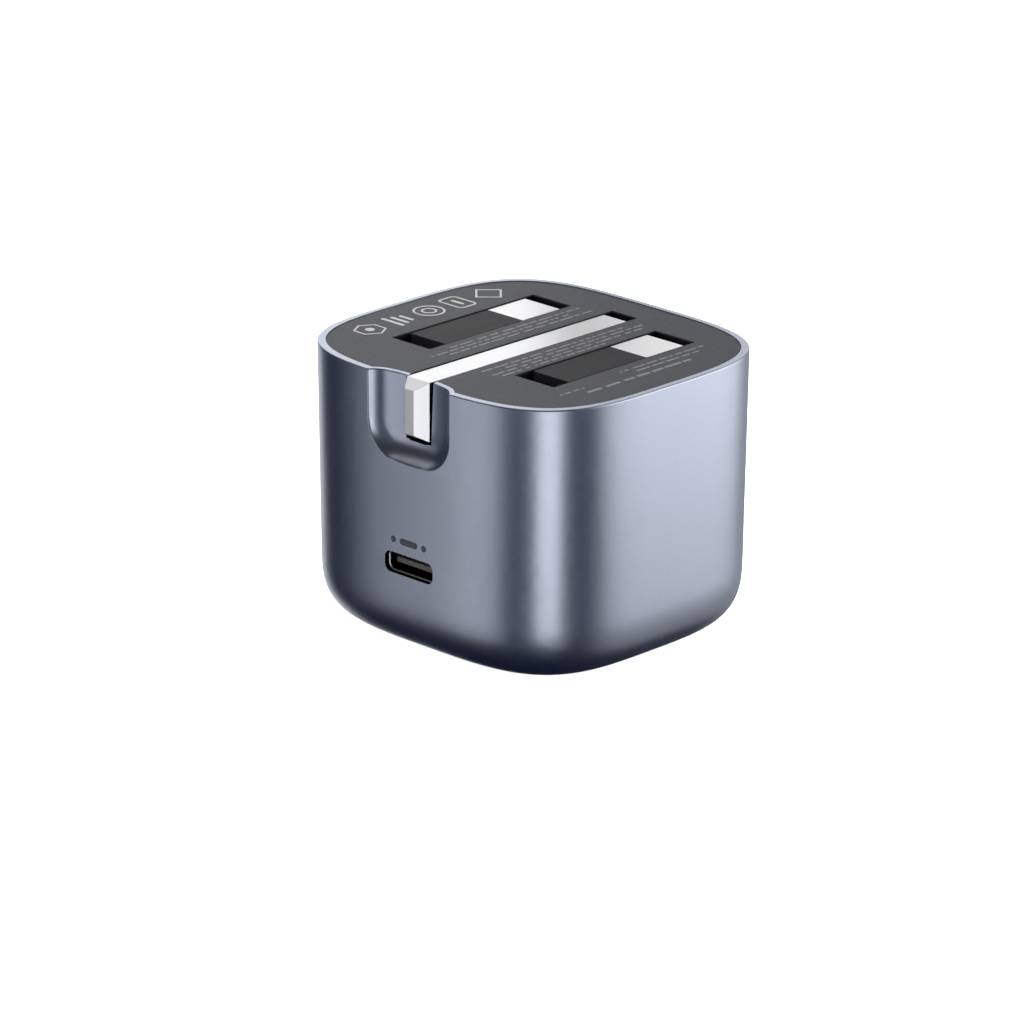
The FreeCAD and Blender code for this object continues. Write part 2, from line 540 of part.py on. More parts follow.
# ----------------------------------------------------- mechanism cover and screws
cover = prism("cover_slab", "XY_Plane", [[squircle_curve(dim("half_width") - 2.5, dim("half_depth") - 2.5, 3.6)]],
              "dims.cover_thick", ("0", "0", F + " - dims.cover_top - dims.cover_thick"))
sheet_film = prism("film", "XY_Plane", [[squircle_curve(dim("half_width") - 3.2, dim("half_depth") - 3.2, 3.6)]],
                   "0.25", ("0", "0", F + " - dims.cover_top - dims.cover_thick - 0.3"))
cover_cuts, film_cuts, screws = [], [], []
for s, tag in ((-1, "l"), (1, "n")):
    mid = "%d * dims.pin_spacing / 2" % s
    cover_cuts.append(box("cover_slot_%s" % tag, (mid + " - 1.4", mid + " + 1.4"), ("-13.7", "-13"), ("15", "30")))
    film_cuts.append(box("film_slot_%s" % tag, (mid + " - 1.6", mid + " + 1.6"), ("-13.9", "-12.8"), ("15", "30")))
    for t, sy in (("a", -1), ("b", 1)):
        at = ("%d * dims.boss_x" % s, "%d * dims.boss_y" % sy)
        cover_cuts.append(rod("cover_hole_%s%s" % (tag, t), "z", ("15", "30"), at, "0.9"))
        film_cuts.append(rod("film_hole_%s%s" % (tag, t), "z", ("15", "30"), at, "2.1"))
        head = rod("screw_head_%s%s" % (tag, t), "z",
                   (F + " - dims.cover_top - dims.cover_thick - 1.3", F + " - dims.cover_top - dims.cover_thick"), at, "1.65")
        shank = rod("screw_shank_%s%s" % (tag, t), "z",
                    (F + " - dims.cover_top - dims.cover_thick - 0.2", F + " - 11.2"), at, "0.75")
        hx = box("screw_drive_%s%s" % (tag, t), (at[0] + " - 0.9", at[0] + " + 0.9"), (at[1] + " - 0.25", at[1] + " + 0.25"),
                 (F + " - dims.cover_top - dims.cover_thick - 2", F + " - dims.cover_top - dims.cover_thick - 0.6"))
        hy = box("screw_cross_%s%s" % (tag, t), (at[0] + " - 0.25", at[0] + " + 0.25"), (at[1] + " - 0.9", at[1] + " + 0.9"),
                 (F + " - dims.cover_top - dims.cover_thick - 2", F + " - dims.cover_top - dims.cover_thick - 0.6"))
        screws.append(cut("screw_%s%s" % (tag, t), fuse("screw_body_%s%s" % (tag, t), [head, shank]), [hx, hy]))
keep(cut("cover_cut", cover, cover_cuts), "mechanism_cover")
keep(cut("film_cut", sheet_film, film_cuts), "insulation_sheet")
keep(fuse("screw_set", screws), "cover_screws")
spring = [(8.3, FACE - 11.25), (6.6, FACE - 11.25), (3.4, FACE - 11.9), (3.15, FACE - 12.1), (3.15, FACE - 15.9),
          (-2.5, FACE - 15.9), (-2.5, FACE - 15.65), (2.9, FACE - 15.65), (2.9, FACE - 11.95), (3.3, FACE - 11.65),
          (6.55, FACE - 11.0), (8.3, FACE - 11.0)]
keep(prism("detent", "YZ_Plane", [lines(spring)], "3.2", ("-1.6", "0", "0")), "detent_spring")

# ------------------------------------------------------------- circuit board
TOP = "dims.board_top"
LOW = "dims.board_top - dims.board_thick"
B = dim("board_top")
U = dim("board_top") - dim("board_thick")
loops = [[squircle_curve(21.6, 19.7, 3.6)]]
for sx, sy in ((-1, -1), (1, -1), (1, 1), (-1, 1)):
    loops.append(ring(14.5 * sx, 12.5 * sy, 0.85))
for s in (-1, 1):
    c = s * dim("pin_spacing") / 2
    loops.append(lines([(c - 1.3, -13.6), (c + 1.3, -13.6), (c + 1.3, -13.1), (c - 1.3, -13.1)]))
keep(prism("board", "XY_Plane", loops, "dims.board_thick", ("0", "0", LOW)), "main_board")

# ---------------------------------------------------------------- USB-C port
P = dim("port_height")
pw, ph = dim("port_wide") / 2, dim("port_tall") / 2
corner = dim("window_corner") - 0.02
skin = 0.14
shell_tube = prism("port_tube", "XZ_Plane", [rounded(pw, ph, corner), rounded(pw - skin, ph - skin, corner - skin)],
                   "-14.3 - dims.port_front", ("0", "-14.3", "dims.port_height"))
shell_back = prism("port_back", "XZ_Plane", [rounded(pw, ph, corner)], "0.3", ("0", "-14", "dims.port_height"))


def port_wire(half_w, half_h, r, y):
    wire = Part.Wire(Part.__sortEdges__([g.toShape() for g in rounded(half_w, half_h, r)]))
    wire.Placement = FreeCAD.Placement(V(0, y, P), FreeCAD.Rotation(V(1, 0, 0), 90))
    return wire


# lead-in bevel round the mouth
front = dim("port_front")
lead_in = feature("port_lead_in", Part.makeLoft([port_wire(pw + 0.03, ph + 0.03, corner + 0.03, front - 0.05),
                                                 port_wire(pw - skin, ph - skin, corner - skin, front + 0.12)], True, True))
keep(cut("port_shell_cut", fuse("port_shell_fuse", [shell_tube, shell_back]), [lead_in]), "usb_shell")
keep(fuse("tongue_fuse", [
    prism("tongue_block", "XZ_Plane", [rounded(pw - skin - 0.01, ph - skin - 0.01, corner - skin - 0.01)], "1.9",
          ("0", "-14.31", "dims.port_height")),
    box("tongue_blade", ("-3.35", "3.35"), ("-21.5", "-16"), ("dims.port_height - 0.35", "dims.port_height + 0.35"))]), "usb_tongue")
fingers = []
for k in range(12):
    x = -2.75 + 0.5 * k
    for z in (P + 0.35, P - 0.40):
        fingers.append(Part.makeBox(0.26, 4.3, 0.05, V(x - 0.13, -21.1, z)))
keep(feature("port_fingers", Part.makeCompound(fingers)), "usb_contacts")
# soft black frame round the port, against the inside of the shell wall
keep(prism("bezel", "XZ_Plane", [rounded(pw + 0.6, ph + 0.6, corner + 0.6), rounded(pw + 0.01, ph + 0.01, corner + 0.01)], "0.9",
           ("0", "-20.1", "dims.port_height")), "port_bezel")

# --------------------------------------------------- parts on top of the board
core = box("core_block", ("-2.5", "14.5"), ("-1.5", "9.5"), (TOP + " + 0.1", TOP + " + 8.8"))
keep(cut("core_cut", core, [
    box("core_window_a", ("-0.3", "3.2"), ("-3", "11"), (TOP + " + 2", TOP + " + 6.9")),
    box("core_window_b", ("8.8", "12.3"), ("-3", "11"), (TOP + " + 2", TOP + " + 6.9"))]), "transformer_core")
keep(cut("coil_cut", box("coil_block", ("-0.1", "12.1"), ("-4.5", "12.5"), (TOP + " + 2.2", TOP + " + 6.7")),
         [box("coil_hole", ("3", "9"), ("-1.7", "9.7"), (TOP, TOP + " + 9"))]), "transformer_coil")
caps = [rod("bulk_cap_%d" % i, "y", ("-2.5", "11.5"), (x, TOP + " + 4.05"), "4") for i, x in enumerate(("-16.4", "-8.1"))]
cap_marks = []
keep(fuse("bulk_cap_set", caps), "bulk_capacitors")
keep(rod("out_cap", "x", ("-1", "9"), ("15.9", TOP + " + 3.05"), "3"), "output_capacitor")
choke = doc.addObject("Part::Torus", "choke_ring")
choke.Radius1 = 2.9
choke.Radius2 = 0.95
choke.setExpression("Placement.Base.x", "-14.8")
choke.setExpression("Placement.Base.y", "-8.3")
choke.setExpression("Placement.Base.z", TOP + " + 2")
keep(choke, "choke_core")
turns = []
for k in range(9):
    a = math.radians(40 * k + 20)
    c = V(-14.8 + 2.9 * math.cos(a), -8.3 + 2.9 * math.sin(a), B + 2.0)
    loop = Part.makeTorus(1.3, 0.3, c, V(-math.sin(a), math.cos(a), 0))
    turns.append(loop)
keep(feature("choke_turns", Part.makeCompound(turns)), "choke_winding")
keep(box("x_cap", ("7.5", "19.3"), ("-12", "-7.2"), (TOP, TOP + " + 8")), "x_capacitor")
keep(rod("y_cap", "x", ("16.6", "18.8"), ("-1.5", TOP + " + 3.2"), "3.1"), "y_capacitor")
keep(rod("fuse_rod", "x", ("-14.2", "-7.6"), ("-16", TOP + " + 1.75"), "1.7"), "fuse_link")
keep(box("opto", ("-8.6", "-4"), ("14.2", "16.8"), (TOP, TOP + " + 2")), "opto_coupler")

# ----------------------------------------------------- parts under the board
keep(box("bridge", ("-19", "-13.4"), ("-8", "-3.8"), (LOW + " - 1.5", LOW)), "bridge_rectifier")
keep(box("switch_chip", ("-4", "4"), ("-4", "4"), (LOW + " - 0.9", LOW)), "power_switch")
keep(box("sync_chip", ("5.6", "10.8"), ("6", "12"), (LOW + " - 1", LOW)), "sync_rectifier")
keep(box("port_chip", ("-2", "2"), ("-12", "-8"), (LOW + " - 0.8", LOW)), "port_controller")
chips = []
for i, (x, y) in enumerate([(-9, -9), (-7, -9), (6, -9), (8.2, -9), (6, -11.5), (-7, -12), (-9, 8.5), (-7, 8.5), (-5, 8.5),
                            (-9, 11), (-5, 11), (2.5, 8.5), (2.5, 11), (-1, 11)]):
    chips.append(Part.makeBox(1.6, 0.8, 0.8, V(x - 0.8, y - 0.4, U - 0.8)))
keep(feature("chip_set", Part.makeCompound(chips)), "chip_passives")
keep(box("pad_block", ("-3.9", "3.9"), ("-3.9", "3.9"), (LOW + " - 2.1", LOW + " - 0.9")), "thermal_pad")
spread = [(-9.5, U), (-9.5, U - 2.6), (9.5, U - 2.6), (9.5, U), (9.0, U), (9.0, U - 2.1), (-9.0, U - 2.1), (-9.0, U)]
keep(prism("spreader", "XZ_Plane", [lines(spread)], "11.4", ("0", "5.7", "0")), "heat_spreader")

# --------------------------------------------------------------- check, export
doc.recompute()
bad = [o.Name for o in doc.Objects if "Invalid" in o.State or "Error" in o.State]
if bad:
    raise RuntimeError("failed objects: %s" % bad)
for label, obj in parts.items():
    sh = obj.Shape
    if obj.Label != label:
        raise RuntimeError("label %s became %s" % (label, obj.Label))
    if sh.isNull() or not sh.isValid() or sh.Volume <= 0:
        raise RuntimeError("bad shape: " + label)
for label, obj in sorted(parts.items()):
    sh = obj.Shape
    bb = sh.BoundBox
    print("%-18s solids %2d vol %9.2f  x %7.2f %7.2f  y %7.2f %7.2f  z %7.2f %7.2f"
          % (label, len(sh.Solids), sh.Volume, bb.XMin, bb.XMax, bb.YMin, bb.YMax, bb.ZMin, bb.ZMax))
    sh.exportStep("parts/%s.step" % label)
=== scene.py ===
"""A compact charger with a folding three-pin plug, standing on its base with the plug face up."""

import math
import random

import bmesh
import bpy
from mathutils import Matrix, Vector


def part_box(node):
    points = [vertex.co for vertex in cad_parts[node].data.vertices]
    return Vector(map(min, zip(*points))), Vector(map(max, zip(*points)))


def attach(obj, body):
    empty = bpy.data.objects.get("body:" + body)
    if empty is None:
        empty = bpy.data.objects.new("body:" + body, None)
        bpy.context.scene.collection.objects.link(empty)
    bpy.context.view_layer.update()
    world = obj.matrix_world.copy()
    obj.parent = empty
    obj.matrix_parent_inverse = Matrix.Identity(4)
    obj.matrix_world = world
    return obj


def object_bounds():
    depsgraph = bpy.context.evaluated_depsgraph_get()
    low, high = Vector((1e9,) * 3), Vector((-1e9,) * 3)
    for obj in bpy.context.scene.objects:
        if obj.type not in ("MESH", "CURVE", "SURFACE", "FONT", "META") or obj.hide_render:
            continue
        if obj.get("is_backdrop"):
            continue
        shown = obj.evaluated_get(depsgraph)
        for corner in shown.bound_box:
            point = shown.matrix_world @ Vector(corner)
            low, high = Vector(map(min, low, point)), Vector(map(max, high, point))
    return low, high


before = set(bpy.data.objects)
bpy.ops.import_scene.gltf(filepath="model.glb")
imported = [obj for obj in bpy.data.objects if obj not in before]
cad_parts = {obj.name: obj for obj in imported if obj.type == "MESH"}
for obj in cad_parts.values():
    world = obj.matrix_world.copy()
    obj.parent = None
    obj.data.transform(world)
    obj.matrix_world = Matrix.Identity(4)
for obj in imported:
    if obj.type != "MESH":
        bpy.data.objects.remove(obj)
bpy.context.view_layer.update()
scene = bpy.context.scene
MM = 0.001

# --------------------------------------------------------------------- camera
azimuth, elevation, roll = math.radians(43.951), math.radians(19.18), math.radians(0.365)
distance, focal = 0.76283, 5834.87
centre_u, centre_v = 532.261, 474.011
back = Vector((math.sin(azimuth) * math.cos(elevation), -math.cos(azimuth) * math.cos(elevation), math.sin(elevation)))
right = Vector((math.cos(azimuth), math.sin(azimuth), 0.0))
up = back.cross(right)
axis_x = right * math.cos(roll) + up * math.sin(roll)
axis_y = up * math.cos(roll) - right * math.sin(roll)
aim_z = (back + axis_x * ((centre_u - 512) / focal) - axis_y * ((centre_v - 512) / focal)).normalized()
aim_x = (axis_x - aim_z * axis_x.dot(aim_z)).normalized()
aim_y = aim_z.cross(aim_x)
camera_data = bpy.data.cameras.new("camera")
camera_data.sensor_width = 36.0
camera_data.lens = focal * 36.0 / 1024
camera_data.clip_start, camera_data.clip_end = 0.01, 20.0
camera = bpy.data.objects.new("camera", camera_data)
scene.collection.objects.link(camera)
place = Matrix.Identity(4)
for row in range(3):
    place[row][0], place[row][1], place[row][2] = aim_x[row], aim_y[row], aim_z[row]
place.translation = back * distance + Vector((0, 0, 0.0202))
camera.matrix_world = place
scene.camera = camera
scene.view_settings.view_transform = "Standard"
scene.view_settings.look = "None"

# ------------------------------------------------------------ studio and floor


def softbox(name, turn, low, high, width, reach, radiance, colour=(1, 1, 1)):
    """An upright soft light that fills these angles as seen from the charger, in degrees."""
    a = math.radians(turn)
    out = Vector((math.sin(a), -math.cos(a), 0))
    z0, z1 = 0.019 + reach * math.tan(math.radians(low)), 0.019 + reach * math.tan(math.radians(high))
    wide, tall = 2 * reach * math.tan(math.radians(width / 2)), z1 - z0
    data = bpy.data.lights.new(name, "AREA")
    data.shape = "RECTANGLE"
    data.size, data.size_y = wide, tall
    data.energy = radiance * math.pi * wide * tall
    data.color = colour
    lamp = bpy.data.objects.new(name, data)
    scene.collection.objects.link(lamp)
    lamp.rotation_mode = "QUATERNION"
    lamp.rotation_quaternion = (-out).to_track_quat("-Z", "Y")
    lamp.location = out * reach + Vector((0, 0, (z0 + z1) / 2))
    lamp.visible_camera = False
    return lamp


def overhead(name, x, y, z, wide, deep, radiance, colour=(1, 1, 1)):
    data = bpy.data.lights.new(name, "AREA")
    data.shape = "RECTANGLE"
    data.size, data.size_y = wide, deep
    data.energy = radiance * math.pi * wide * deep
    data.color = colour
    lamp = bpy.data.objects.new(name, data)
    scene.collection.objects.link(lamp)
    lamp.location = (x, y, z)
    lamp.visible_camera = False
    return lamp


softbox("left_box", -25.7, -31.3, 10.0, 34.0, 0.273, 0.680)
softbox("front_strip", 47.35, -27.0, 22.0, 28.7, 0.150, 1.43)
softbox("right_box", 139.2, -18.6, 44.1, 55.5, 0.481, 1.68)
softbox("right_low", 141.0, -45.0, -19.0, 60.0, 0.481, 0.25)
softbox("rear_left", -118.0, 5.0, 62.0, 38.0, 0.150, 1.04)
softbox("left_high", -82.0, 30.0, 64.0, 40.0, 0.150, 0.72)
softbox("rear_box", -151.0, 8.0, 42.0, 27.0, 0.468, 1.0)
softbox("left_rim", -114.0, -40.0, 5.0, 40.0, 0.300, 1.0)
softbox("right_rim", 190.0, -40.0, 8.0, 36.0, 0.450, 0.30)
softbox("front_fill", 6.0, -35.0, 40.0, 56.0, 0.300, 0.05, (0.55, 0.68, 1.0))
softbox("side_fill", 86.0, -24.0, 40.0, 44.0, 0.300, 0.028, (0.3, 0.55, 1.0))
overhead("top_box", 0, 0, 0.75, 0.9, 0.9, 2.4).visible_glossy = False

# a broad light over the front that only the plug's own pieces catch
plug = bpy.data.collections.new("plug_pieces")
for name in ("earth_pin", "line_pin", "neutral_pin", "line_sleeve", "neutral_sleeve", "face_plate"):
    plug.objects.link(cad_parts[name])
softbox("plug_light", -4.0, 12.0, 55.0, 76.0, 0.400, 0.45).light_linking.receiver_collection = plug

world = bpy.data.worlds.new("studio")
scene.world = world
world.use_nodes = True
wt = world.node_tree
wt.nodes.clear()
w_out = wt.nodes.new("ShaderNodeOutputWorld")
w_back = wt.nodes.new("ShaderNodeBackground")
w_dir = wt.nodes.new("ShaderNodeTexCoord")
w_xyz = wt.nodes.new("ShaderNodeSeparateXYZ")
w_map = wt.nodes.new("ShaderNodeMapRange")
w_map.inputs["From Min"].default_value = -1.0
w_map.inputs["From Max"].default_value = 1.0
w_ramp = wt.nodes.new("ShaderNodeValToRGB")
w_ramp.color_ramp.elements[0].position = 0.25
w_ramp.color_ramp.elements[0].color = (0.003, 0.006, 0.022, 1)
w_ramp.color_ramp.elements[1].position = 0.95
w_ramp.color_ramp.elements[1].color = (0.045, 0.045, 0.047, 1)
horizon = w_ramp.color_ramp.elements.new(0.5)
horizon.color = (0.006, 0.015, 0.05, 1)
w_ramp.color_ramp.elements.new(0.6).color = (0.020, 0.022, 0.029, 1)
wt.links.new(w_dir.outputs["Generated"], w_xyz.inputs[0])
wt.links.new(w_xyz.outputs["Z"], w_map.inputs["Value"])
wt.links.new(w_map.outputs[0], w_ramp.inputs[0])
wt.links.new(w_ramp.outputs[0], w_back.inputs["Color"])
w_back.inputs["Strength"].default_value = 1.0
wt.links.new(w_back.outputs[0], w_out.inputs[0])

profile = [(0.0, 0.0), (0.03, 0.0), (0.2, 0.0), (0.6, 0.0), (1.2, 0.0)]
for k in range(1, 13):
    t = math.radians(90 * k / 12)
    profile.append((1.2 + 0.6 * math.sin(t), 0.6 - 0.6 * math.cos(t)))
profile.append((1.8, 1.6))
bm = bmesh.new()
around = 96
rings = [[bm.verts.new((0, 0, 0))]]
for r, z in profile[1:]:
    rings.append([bm.verts.new((r * math.cos(2 * math.pi * k / around), r * math.sin(2 * math.pi * k / around), z)) for k in range(around)])
for k in range(around):
    bm.faces.new((rings[0][0], rings[1][k], rings[1][(k + 1) % around]))
for inner, outer in zip(rings[1:], rings[2:]):
    for k in range(around):
        bm.faces.new((inner[k], outer[k], outer[(k + 1) % around], inner[(k + 1) % around]))
floor_mesh = bpy.data.meshes.new("floor")
bm.to_mesh(floor_mesh)
bm.free()
for face in floor_mesh.polygons:
    face.use_smooth = True
floor = bpy.data.objects.new("floor", floor_mesh)
scene.collection.objects.link(floor)
floor.visible_glossy = False
floor.visible_shadow = False
floor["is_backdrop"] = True

# ------------------------------------------------------------------ materials


class Finish:
    """One material, built up from noise, colour ramps and a bump."""

    def __init__(self, name, **values):
        self.material = bpy.data.materials.get(name) or bpy.data.materials.new(name)
        self.material.use_nodes = True
        self.tree = self.material.node_tree
        self.tree.nodes.clear()
        self.out = self.node("ShaderNodeOutputMaterial")
        self.bsdf = self.node("ShaderNodeBsdfPrincipled")
        self.join(self.bsdf.outputs[0], self.out.inputs["Surface"])
        self.coord = self.node("ShaderNodeTexCoord").outputs["Object"]
        for key, value in values.items():
            self.bsdf.inputs[key.replace("_", " ")].default_value = value

    def node(self, kind, **values):
        made = self.tree.nodes.new(kind)
        for key, value in values.items():
            setattr(made, key, value)
        return made

    def join(self, a, b):
        self.tree.links.new(a, b)

    def stretched(self, x, y, z):
        made = self.node("ShaderNodeMapping")
        made.inputs["Scale"].default_value = (x, y, z)
        self.join(self.coord, made.inputs["Vector"])
        return made.outputs[0]

    def noise(self, scale, detail=2.0, rough=0.5, vector=None):
        made = self.node("ShaderNodeTexNoise")
        made.inputs["Scale"].default_value = scale
        made.inputs["Detail"].default_value = detail
        made.inputs["Roughness"].default_value = rough
        self.join(vector or self.coord, made.inputs["Vector"])
        return made.outputs["Fac"]

    def cells(self, scale, vector=None):
        made = self.node("ShaderNodeTexVoronoi")
        made.inputs["Scale"].default_value = scale
        self.join(vector or self.coord, made.inputs["Vector"])
        return made.outputs["Distance"]

    def ramp(self, fac, *stops):
        made = self.node("ShaderNodeValToRGB")
        elements = made.color_ramp.elements
        elements[0].position, elements[0].color = stops[0][0], (*stops[0][1], 1)
        elements[1].position, elements[1].color = stops[-1][0], (*stops[-1][1], 1)
        for position, colour in stops[1:-1]:
            elements.new(position).color = (*colour, 1)
        self.join(fac, made.inputs[0])
        return made.outputs[0]

    def span(self, value, low, high, lowest=0.3, highest=0.7):
        made = self.node("ShaderNodeMapRange")
        made.inputs["From Min"].default_value = lowest
        made.inputs["From Max"].default_value = highest
        made.inputs["To Min"].default_value = low
        made.inputs["To Max"].default_value = high
        self.join(value, made.inputs["Value"])
        return made.outputs[0]

    def mix(self, fac, a, b):
        made = self.node("ShaderNodeMix", data_type="RGBA")
        self.join(fac, made.inputs[0])
        self.join(a, made.inputs[6])
        self.join(b, made.inputs[7])
        return made.outputs[2]

    def plus(self, a, b, kind="ADD"):
        made = self.node("ShaderNodeMath", operation=kind)
        self.join(a, made.inputs[0])
        self.join(b, made.inputs[1])
        return made.outputs[0]

    def place(self, axis):
        if not hasattr(self, "xyz"):
            self.xyz = self.node("ShaderNodeSeparateXYZ")
            self.join(self.coord, self.xyz.inputs[0])
        return self.xyz.outputs[axis]

    def within(self, **limits):
        """One inside these limits in millimetres, nought outside."""
        mask = None
        for axis, (low, high) in limits.items():
            made = self.node("ShaderNodeMath", operation="COMPARE")
            self.join(self.place(axis), made.inputs[0])
            made.inputs[1].default_value = (low + high) / 2 * MM
            made.inputs[2].default_value = (high - low) / 2 * MM
            mask = made.outputs[0] if mask is None else self.plus(mask, made.outputs[0], "MULTIPLY")
        return mask

    def toned(self, fac, a, colour):
        made = self.node("ShaderNodeMix", data_type="RGBA")
        self.join(fac, made.inputs[0])
        self.join(a, made.inputs[6])
        made.inputs[7].default_value = (*colour, 1)
        return made.outputs[2]

    def colour(self, socket):
        self.join(socket, self.bsdf.inputs["Base Color"])

    def rough(self, socket):
        self.join(socket, self.bsdf.inputs["Roughness"])

    def bump(self, height, distance, strength=1.0, edge=0.0):
        made = self.node("ShaderNodeBump")
        made.inputs["Distance"].default_value = distance
        made.inputs["Strength"].default_value = strength
        self.join(height, made.inputs["Height"])
        if edge:
            soft = self.node("ShaderNodeBevel", samples=4)
            soft.inputs["Radius"].default_value = edge
            self.join(soft.outputs[0], made.inputs["Normal"])
        self.join(made.outputs[0], self.bsdf.inputs["Normal"])


def tint(colour, k):
    return tuple(min(1.0, c * k) for c in colour)


# satin metallic shell: fine flake in the paint, faint cloudiness in the gloss,
# painted shade on the cut walls of the port window and the earth pin's gate: near black, with their reflection
# switched off
f = Finish("shell_metallic", Metallic=1.0)
METAL = (0.563, 0.604, 0.708)
flake = f.noise(7000, 1.0, 0.6)
cloud = f.noise(55, 3.0, 0.55)
paint = f.mix(cloud, f.ramp(flake, (0.35, tint(METAL, 0.95)), (0.65, tint(METAL, 1.02))), f.ramp(flake, (0.35, tint(METAL, 0.98)), (0.65, tint(METAL, 1.05))))
# painted shade: the port window's and the gate's cut walls are coloured near black and lose their reflection
wall_shade_mask = f.plus(f.within(X=(-4.5, 4.5), Y=(-22.72, -19.0), Z=(11.5, 14.7)), f.within(X=(-1.9, 3.0), Y=(-21.03, -18.0), Z=(29.6, 38.0)), "MAXIMUM")
wall_shade_mask = f.plus(wall_shade_mask, f.within(X=(-2.6, 0.0), Y=(-21.03, -18.0), Z=(29.6, 30.4)), "MAXIMUM")
f.colour(f.toned(wall_shade_mask, paint, (0.004, 0.004, 0.005)))
f.join(f.ramp(wall_shade_mask, (0.0, (1, 1, 1)), (1.0, (0, 0, 0))), f.bsdf.inputs["Specular Tint"])
f.rough(f.span(f.plus(cloud, f.noise(900, 2.0), "MULTIPLY"), 0.345, 0.375, 0.15, 0.4))
f.bump(f.noise(5200, 2.0, 0.6), 0.000004, 0.35)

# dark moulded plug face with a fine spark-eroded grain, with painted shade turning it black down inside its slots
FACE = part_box("face_plate")[1].z
f = Finish("face_dark", Specular_IOR_Level=0.32)
GREY = (0.0256, 0.0268, 0.031)
grain = f.noise(4200, 2.0, 0.6)
drift = f.noise(70, 3.0, 0.5)
skin = f.mix(drift, f.ramp(grain, (0.3, tint(GREY, 0.88)), (0.7, tint(GREY, 1.06))), f.ramp(grain, (0.3, tint(GREY, 0.95)), (0.7, tint(GREY, 1.13))))
# painted shade: the colour darkens to black from 0.03 mm to 0.25 mm below the face, down inside the slots
f.colour(f.toned(f.span(f.place("Z"), 1.0, 0.0, FACE - 0.25 * MM, FACE - 0.03 * MM), skin, (0.002, 0.002, 0.002)))
f.rough(f.span(grain, 0.46, 0.58))
f.bump(grain, 0.000009, 0.5, 0.00006)

# smoother dark insulating sleeves
f = Finish("sleeve_dark", Specular_IOR_Level=0.12)
DARK = (0.009, 0.0093, 0.0102)
grain = f.noise(5600, 2.0, 0.55)
flow = f.noise(1.0, 3.0, 0.5, f.stretched(900, 90, 900))
f.colour(f.mix(flow, f.ramp(grain, (0.3, tint(DARK, 0.85)), (0.7, tint(DARK, 1.08))), f.ramp(grain, (0.3, tint(DARK, 0.95)), (0.7, tint(DARK, 1.2)))))
f.rough(f.span(flow, 0.455, 0.49))
f.bump(grain, 0.000008, 0.4, 0.00006)

# nickel-plated pins, finely brushed along their length
f = Finish("pin_nickel", Metallic=1.0)
NICKEL = (0.88, 0.88, 0.885)
brushed = f.noise(1.0, 4.0, 0.65, f.stretched(9000, 140, 9000))
patch = f.noise(260, 3.0, 0.55)
f.colour(f.mix(patch, f.ramp(brushed, (0.3, tint(NICKEL, 0.965)), (0.7, tint(NICKEL, 1.015))), f.ramp(brushed, (0.3, tint(NICKEL, 0.985)), (0.7, tint(NICKEL, 1.035)))))
f.rough(f.span(brushed, 0.22, 0.28))
f.bump(brushed, 0.000002, 0.5, 0.0001)


def moulded(name, colour, low, high, scale=3800, depth=0.00001):
    g = Finish(name)
    fine, wide = g.noise(scale, 2.0, 0.6), g.noise(scale / 30, 3.0, 0.5)
    g.colour(g.mix(wide, g.ramp(fine, (0.3, tint(colour, 0.86)), (0.7, tint(colour, 1.08))), g.ramp(fine, (0.3, tint(colour, 0.94)), (0.7, tint(colour, 1.18)))))
    g.rough(g.span(fine, low, high))
    g.bump(fine, depth, 0.5, 0.00005)
    return g


def metal(name, colour, low, high, along=(7000, 160, 7000), depth=0.000002):
    g = Finish(name, Metallic=1.0)
    lay, wide = g.noise(1.0, 4.0, 0.6, g.stretched(*along)), g.noise(300, 3.0, 0.55)
    g.colour(g.mix(wide, g.ramp(lay, (0.3, tint(colour, 0.88)), (0.7, tint(colour, 1.04))), g.ramp(lay, (0.3, tint(colour, 0.96)), (0.7, tint(colour, 1.12)))))
    g.rough(g.span(lay, low, high))
    g.bump(lay, depth, 0.5, 0.00004)
    return g


moulded("inner_black", (0.004, 0.004, 0.0045), 0.5, 0.65)
moulded("chip_black", (0.022, 0.022, 0.024), 0.48, 0.62, 6000)
moulded("gear_white", (0.74, 0.74, 0.70), 0.32, 0.44, 2600, 0.000006)
moulded("board_laminate", (0.012, 0.105, 0.045), 0.30, 0.42, 1500, 0.000006)
moulded("coil_tape", (0.62, 0.42, 0.035), 0.30, 0.46, 700, 0.00002)
moulded("capacitor_sleeve", (0.035, 0.055, 0.075), 0.30, 0.40, 1200, 0.000008)
moulded("capacitor_box", (0.56, 0.42, 0.07), 0.28, 0.38, 2200, 0.000006)
moulded("capacitor_disc", (0.05, 0.16, 0.38), 0.20, 0.32, 900, 0.00002)
moulded("fuse_tube", (0.20, 0.15, 0.05), 0.28, 0.42, 1400, 0.00001)
moulded("chip_ceramic", (0.38, 0.27, 0.17), 0.45, 0.60, 7000, 0.000006)
moulded("gap_pad", (0.22, 0.27, 0.34), 0.62, 0.80, 1800, 0.00003)
moulded("insulation_paper", (0.26, 0.33, 0.32), 0.60, 0.78, 2400, 0.00002)
moulded("ferrite", (0.035, 0.035, 0.038), 0.50, 0.68, 3200, 0.00002)
metal("steel_zinc", (0.62, 0.62, 0.58), 0.28, 0.42)
metal("spring_steel", (0.58, 0.58, 0.59), 0.20, 0.34, (160, 7000, 7000))
metal("bronze_strip", (0.66, 0.42, 0.20), 0.24, 0.38)
metal("gold_contact", (0.90, 0.62, 0.22), 0.16, 0.28)
metal("capacitor_can", (0.80, 0.80, 0.81), 0.24, 0.36)
metal("copper_wire", (0.70, 0.30, 0.12), 0.24, 0.40, (900, 900, 900))
metal("spreader_alloy", (0.76, 0.76, 0.77), 0.26, 0.40)

# the port's tongue, a little lighter than the frame round it
tongue = moulded("tongue_dark", (0.036, 0.036, 0.034), 0.45, 0.6)
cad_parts["usb_tongue"].material_slots[0].material = tongue.material
